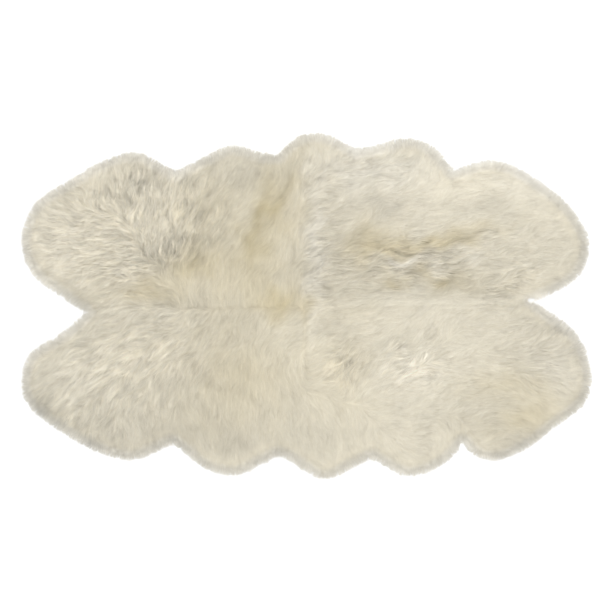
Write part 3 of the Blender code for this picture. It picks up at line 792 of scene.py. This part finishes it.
def grow(name, pelt, kinds, seed):
    """Strands of wool of several kinds, as one mesh of closed three-sided spikes."""
    laid = [lay(pelt, kind, seed) for kind in kinds]
    centre, thick, lighter = (np.concatenate(parts) for parts in zip(*laid))
    n = len(centre)
    tangent = centre[:, 2] - centre[:, 0]
    tangent /= np.linalg.norm(tangent, axis=1, keepdims=True)
    across = np.cross(tangent, [0, 0, 1.0])
    across /= np.linalg.norm(across, axis=1, keepdims=True)
    over = np.cross(tangent, across)
    points, normals = np.empty((n, 5, 3)), np.empty((n, 5, 3))
    for end, k in ((0, 0), (4, 2)):
        points[:, end] = centre[:, k]
        normals[:, end] = body_normals(*centre[:, k, :2].T)
    roll = math.pi / 2 + RNG.normal(0, ROLL_SPREAD, n)  # at a quarter turn a flat side is up
    surface = body_normals(*centre[:, 1, :2].T)
    for c in range(3):
        phi = roll + c * 2 * math.pi / 3
        ray = across * np.cos(phi)[:, None] + over * np.sin(phi)[:, None]
        points[:, 1 + c] = centre[:, 1] + ray * thick[:, None]
        normals[:, 1 + c] = surface * (1 - SHARPNESS) + ray * SHARPNESS
    points[:, :, 2] = np.maximum(points[:, :, 2], WOOL_LOWEST)
    normals /= np.linalg.norm(normals, axis=2, keepdims=True)
    faces = [(0, 1 + (c + 1) % 3, 1 + c) for c in range(3)]
    faces += [(1 + c, 1 + (c + 1) % 3, 4) for c in range(3)]
    corners, normals = points[:, faces], normals[:, faces]
    facing = np.cross(corners[:, :, 1] - corners[:, :, 0], corners[:, :, 2] - corners[:, :, 0])
    normals[facing[:, :, 2] < 0, :, 2] *= -1  # a side that faces down is shaded as the wool's underside
    faces = np.array(faces)[None] + (np.arange(n) * 5)[:, None, None]
    # each strand has a place of its own in the texture, with its three sides beside each other
    uv = [((c + 0.5, 0), (c + 1, STATIONS[1]), (c, STATIONS[1])) for c in range(3)]
    uv += [((c, STATIONS[1]), (c + 1, STATIONS[1]), (c + 0.5, 1)) for c in range(3)]
    uv = np.array(uv) * (1 / 3, 1)
    cells = math.ceil(math.sqrt(n))
    corner = np.stack([np.arange(n) % cells, np.arange(n) // cells], 1)
    mesh = mesh_from(name, points.reshape(-1, 3), faces.reshape(-1, 3), normals)
    put_uv(mesh, (corner[:, None, None, :] + 0.06 + 0.88 * uv[None]) / cells)
    # patches change along a strand, and its streak is the one at its middle
    x, y = centre[:, :, 0], centre[:, :, 1]
    streak = lighter + light_at(x[:, 1], y[:, 1]) - LIGHT.at(x[:, 1], y[:, 1])
    put(mesh, "along", np.tile(np.array(STATIONS)[STATION_OF], n))
    put(mesh, "tone_and_painted_light", (LIGHT.at(x, y) + streak[:, None])[:, STATION_OF])
    put(mesh, "stain", STAIN.at(x, y)[:, STATION_OF])
    return mesh


def hide_sheet(pelt):
    """A pelt's leather: a thin closed sheet under its wool, with the outline of the solid's underside."""
    ring = along_ring(rings[pelt], HIDE_STEP)
    low, high = ring.min(0), ring.max(0)
    x, y = np.meshgrid(*(np.arange(low[i], high[i], HIDE_STEP) for i in (0, 1)))
    x, y = x.ravel(), y.ravel()
    edge_room = HIDE_STEP * 0.6
    inner = (OWN[pelt].at(x, y) > 0.5) & (DISTANCE.at(x, y) > edge_room) & (SEAM.at(x, y) > edge_room)
    flat = np.concatenate([ring, np.stack([x[inner], y[inner]], 1)])
    out = delaunay_2d_cdt([Vector(p) for p in flat], [], [list(range(len(ring)))], 1, 1e-9)
    flat, faces = np.array(out[0]), np.array(out[2])
    count = len(flat)
    swell = HIDE_SWELL * (0.5 + 0.25 * wavy(flat[:, 0], flat[:, 1], 0.05, seed=21))
    under = np.column_stack([flat, HIDE_LOWEST + np.clip(swell, 0, HIDE_SWELL)])
    upper = np.column_stack([flat, np.full(count, HIDE_LOWEST + HIDE_THICK)])
    sides = np.concatenate([faces[:, [0, 1]], faces[:, [1, 2]], faces[:, [2, 0]]])
    edge = sides[~np.isin(sides[:, 0] * count + sides[:, 1], sides[:, 1] * count + sides[:, 0])]
    walls = np.concatenate([np.stack([edge[:, 1], edge[:, 0], count + edge[:, 0]], 1),
                            np.stack([edge[:, 1], count + edge[:, 0], count + edge[:, 1]], 1)])
    mesh = mesh_from("hide_" + pelt, np.concatenate([under, upper]),
                     np.concatenate([faces[:, ::-1], count + faces, walls]), None)
    a, b, c = (flat[faces[:, k]] for k in range(3))
    area = abs(np.cross(b - a, c - a)).sum() / 2
    return mesh, (high - low), area


def seam_line(pelt, other):
    """Points along a pelt's edge where another pelt lies beside it, in order, a stitch apart."""
    tree = tree_of(along_ring(rings[other], EDGE_STEP))
    ring = along_ring(rings[pelt], EDGE_STEP)
    beside = np.array([tree.find((*point, 0))[2] < SEWN_GAP for point in ring])
    start = np.nonzero(beside & ~np.roll(beside, 1))[0][0]
    line = [point for point, here in zip(np.roll(ring, -start, axis=0), np.roll(beside, -start)) if here]
    spots = [line[0]]
    for point in line:
        if np.hypot(*(point - spots[-1])) >= STITCH_STEP:
            spots.append(point)
    return np.array(spots)


def stitches(name, line):
    """Slanted stitches of thick thread across a seam, on the underside, as one mesh."""
    n = len(line)
    along = np.gradient(line, axis=0)
    along /= np.linalg.norm(along, axis=1, keepdims=True)
    across = np.stack([-along[:, 1], along[:, 0]], 1)
    lean = across + STITCH_SLANT * along
    lean /= np.linalg.norm(lean, axis=1, keepdims=True)
    reach = RNG.uniform(0.9, 1.1, n)[:, None] * STITCH_LENGTH / 2
    side = np.stack([-lean[:, 1], lean[:, 0]], 1)
    points = np.empty((n, 5, 4, 3))  # five stations of four corners
    for k, s in enumerate(np.linspace(-1, 1, 5)):
        middle = line + lean * reach * s
        height = THREAD_THICK / 2 + 0.0001 + (HIDE_LOWEST + 0.0004) * s ** 4
        for c in range(4):
            turn = math.pi / 4 + c * math.pi / 2
            thick = THREAD_THICK / 2 * (1 - 0.5 * s ** 4)
            points[:, k, c, :2] = middle + side * thick * math.cos(turn) * 1.2
            points[:, k, c, 2] = height + thick * math.sin(turn)
    faces = [(0, 1, 2), (0, 2, 3), (16, 18, 17), (16, 19, 18)]
    for k in range(4):
        for c in range(4):
            a, b = 4 * k + c, 4 * k + (c + 1) % 4
            faces += [(a, a + 4, b + 4), (a, b + 4, b)]
    faces = np.array(faces)[None] + (np.arange(n) * 20)[:, None, None]
    return mesh_from(name, points.reshape(-1, 3), faces.reshape(-1, 3), None)


def show(mesh, material, replaces=None):
    obj = bpy.data.objects.new(mesh.name, mesh)
    bpy.context.scene.collection.objects.link(obj)
    mesh.materials.append(material)
    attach(obj, "root")
    if replaces:
        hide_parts(replaces)
    return obj


# ---------------------------------------------------------------- materials
def node(tree, kind, inputs=None, **settings):
    made = tree.nodes.new(kind)
    for key, value in settings.items():
        setattr(made, key, value)
    for key, value in (inputs or {}).items():
        if isinstance(value, bpy.types.NodeSocket):
            tree.links.new(value, made.inputs[key])
        else:
            made.inputs[key].default_value = value
    return made


def new_material(name):
    material = bpy.data.materials.new(name)
    material.use_nodes = True
    return material, material.node_tree, material.node_tree.nodes["Principled BSDF"]


def two_colours(tree, share, first, second, start=0.0, end=1.0):
    """A blend from the first colour, where share is under start, to the second, where it is over end."""
    ramp = node(tree, "ShaderNodeValToRGB", {"Fac": share})
    for element, colour, position in zip(ramp.color_ramp.elements, (first, second), (start, end)):
        element.color = (*colour, 1)
        element.position = position
    return ramp.outputs["Color"]


def wool_material(name, fibres):
    """Wool of the colour that a mesh's attributes give. fibres adds fine stripes along its strands."""
    material, tree, shader = new_material(name)
    along, tone_and_painted_light, stain = (node(tree, "ShaderNodeAttribute", attribute_name=name).outputs["Fac"]
                          for name in ("along", "tone_and_painted_light", "stain"))
    clean = two_colours(tree, along, WOOL_ROOT, WOOL_TIP, end=0.6)
    stained = node(tree, "ShaderNodeMix", {0: stain, 6: clean, 7: (*WOOL_STAINED, 1)}, data_type="RGBA")
    pale = node(tree, "ShaderNodeMath", {0: stain, 1: -1.0}, operation="MULTIPLY").outputs[0]
    stained = node(tree, "ShaderNodeMix", {0: pale, 6: stained.outputs[2], 7: (*WOOL_PALE, 1)},
                   data_type="RGBA")
    # this brightness brings painted light and shade as well as the wool's own tone
    value = node(tree, "ShaderNodeMath", {0: tone_and_painted_light, 1: 1.0}, operation="ADD").outputs[0]
    if fibres:
        place = node(tree, "ShaderNodeUVMap", uv_map="OFBake").outputs[0]
        place = node(tree, "ShaderNodeMapping", {"Vector": place, "Scale": (1, STRIPE_STRETCH, 1)})
        noise = node(tree, "ShaderNodeTexNoise",
                     {"Vector": place.outputs[0], "Scale": STRIPES, "Detail": 1.0},
                     noise_dimensions="2D").outputs["Fac"]
        darkest, lightest = STRIPE_SHADES
        stripe = node(tree, "ShaderNodeMapRange",
                      {0: noise, 1: 0.25, 2: 0.75, 3: darkest, 4: lightest}).outputs[0]
        value = node(tree, "ShaderNodeMath", {0: value, 1: stripe}, operation="MULTIPLY").outputs[0]
    tinted = node(tree, "ShaderNodeVectorMath", {0: stained.outputs[2], 3: value}, operation="SCALE")
    tree.links.new(tinted.outputs[0], shader.inputs["Base Color"])
    shader.inputs["Roughness"].default_value = 0.75
    shader.inputs["Specular IOR Level"].default_value = 0.2
    shader.inputs["Sheen Weight"].default_value = 0.3
    shader.inputs["Sheen Roughness"].default_value = 0.5
    shader.inputs["Sheen Tint"].default_value = (1, 0.97, 0.9, 1)
    return material


def leather_material():
    """Pale tanned leather with faint blotches and a fine suede grain."""
    material, tree, shader = new_material("leather")
    place = node(tree, "ShaderNodeTexCoord").outputs["Object"]
    blotch, grain = (
        node(tree, "ShaderNodeTexNoise", {"Vector": place, "Scale": scale, "Detail": detail}).outputs["Fac"]
        for scale, detail in ((9.0, 4.0), (900.0, 2.0)))
    blotched = two_colours(tree, blotch, LEATHER_DARK, LEATHER_PALE, 0.3, 0.7)
    value = node(tree, "ShaderNodeMapRange", {0: grain, 1: 0.3, 2: 0.7, 3: 0.94, 4: 1.04}).outputs[0]
    tinted = node(tree, "ShaderNodeVectorMath", {0: blotched, 3: value}, operation="SCALE")
    bump = node(tree, "ShaderNodeBump", {"Height": grain, "Strength": 0.4, "Distance": 0.0003})
    tree.links.new(tinted.outputs[0], shader.inputs["Base Color"])
    tree.links.new(bump.outputs[0], shader.inputs["Normal"])
    shader.inputs["Roughness"].default_value = 0.85
    shader.inputs["Specular IOR Level"].default_value = 0.2
    return material


def thread_material():
    """Waxed thread, a little darker than the leather, with fine bands round it."""
    material, tree, shader = new_material("thread")
    place = node(tree, "ShaderNodeTexCoord").outputs["Object"]
    noise = node(tree, "ShaderNodeTexNoise", {"Vector": place, "Scale": 1500.0}).outputs["Fac"]
    tree.links.new(two_colours(tree, noise, THREAD_DARK, THREAD_PALE), shader.inputs["Base Color"])
    shader.inputs["Roughness"].default_value = 0.6
    return material


def floor_and_light():
    world = bpy.data.worlds.new("studio")
    bpy.context.scene.world = world
    world.use_nodes = True
    background = world.node_tree.nodes["Background"]
    background.inputs["Color"].default_value = (1, 1, 1, 1)
    background.inputs["Strength"].default_value = 1.0
    bpy.ops.mesh.primitive_plane_add(size=16, location=(0, 0, -0.0002))
    floor = bpy.context.object
    floor.name = "floor"
    material, _, shader = new_material("floor")
    shader.inputs["Base Color"].default_value = (0.93, 0.93, 0.93, 1)
    shader.inputs["Roughness"].default_value = 0.9
    shader.inputs["Specular IOR Level"].default_value = 0.1
    shader.inputs["Emission Color"].default_value = (1, 1, 1, 1)
    shader.inputs["Emission Strength"].default_value = 0.12
    floor.data.materials.append(material)
    for name, power, size, place in LIGHTS:
        light = bpy.data.lights.new(name, "AREA")
        light.energy = power
        light.size = size
        lamp = bpy.data.objects.new(name, light)
        bpy.context.scene.collection.objects.link(lamp)
        lamp.location = place
        lamp.rotation_euler = (-Vector(place)).to_track_quat("-Z", "Y").to_euler()


def add_camera():
    data = bpy.data.cameras.new("camera")
    data.lens = LENS
    data.sensor_width = SENSOR
    camera = bpy.data.objects.new("camera", data)
    bpy.context.scene.collection.objects.link(camera)
    height = PHOTO_SIDE * PIXEL / 2 / math.tan(data.angle / 2)
    camera.location = (*CAMERA_SHIFT, height + WOOL_LEVEL)
    bpy.context.scene.camera = camera


bpy.context.scene.view_settings.view_transform = "Standard"
wool = wool_material("wool", fibres=True)
underwool = wool_material("underwool", fibres=False)
leather = leather_material()
thread = thread_material()
for number, pelt in enumerate(PELTS):
    fleece = show(soft_body(pelt), underwool, replaces="pelt_" + pelt)
    locks = show(grow("locks_" + pelt, pelt, (FINE, LOCK), number), wool)
    rim = show(grow("rim_" + pelt, pelt, (RIM,), number + 10), wool)
    sheet, size, area = hide_sheet(pelt)
    hide = show(sheet, leather)
for name, (pelt, other) in SEAMS.items():
    show(stitches(name, seam_line(pelt, other)), thread)
floor_and_light()
add_camera()
